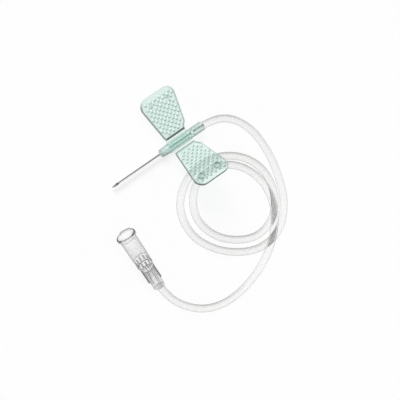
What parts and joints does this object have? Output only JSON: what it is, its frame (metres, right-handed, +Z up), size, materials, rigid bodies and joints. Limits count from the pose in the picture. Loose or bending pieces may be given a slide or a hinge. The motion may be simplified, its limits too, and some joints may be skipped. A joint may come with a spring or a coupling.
{
  "type": "winged infusion set",
  "caption": "Winged infusion set: short bevelled steel needle in a hub with two folding wings, clear tube laid in loose turns, and a female taper connector.",
  "frame": {"origin": "Under the middle of the needle, hub and wings, on the surface that the set lies on. The tube and the connector aren't counted.", "axes": "+X along the needle towards its point, +Z up, +Y towards the raised wing, which carries the two rings."},
  "size_m": [0.0626, 0.0704, 0.0137],
  "materials": {
    "steel": "fine polished steel",
    "adhesive": "cured clear adhesive, slightly grey",
    "hub_plastic": "clear rigid plastic with a faint green-grey tint",
    "wing_plastic": "soft translucent mint-green plastic, domed grip texture on top",
    "tube_plastic": "soft clear tube, slightly milky",
    "connector_plastic": "clear rigid plastic, smooth"
  },
  "bodies": {
    "set": {"needle_cannula": "steel", "cannula_bond": "adhesive", "needle_hub": "hub_plastic", "wing_sleeve": "wing_plastic", "infusion_tube": "tube_plastic", "connector": "connector_plastic"},
    "lower_wing": {"pin_wing": "wing_plastic"},
    "upper_wing": {"socket_wing": "wing_plastic"}
  },
  "joints": [
    {"name": "pin_wing_fold", "type": "hinge", "parent": "set", "child": "lower_wing", "pos_m": [-0.0089, -0.00002, 0.00149], "axis": [-1, 0, 0], "range_deg": [0, 75], "stiffness_Nm_per_rad": 0.001},
    {"name": "socket_wing_fold", "type": "hinge", "parent": "set", "child": "upper_wing", "pos_m": [-0.0089, 0.00393, 0.00325], "axis": [1, 0, 0], "range_deg": [0, 75], "stiffness_Nm_per_rad": 0.001}
  ]
}
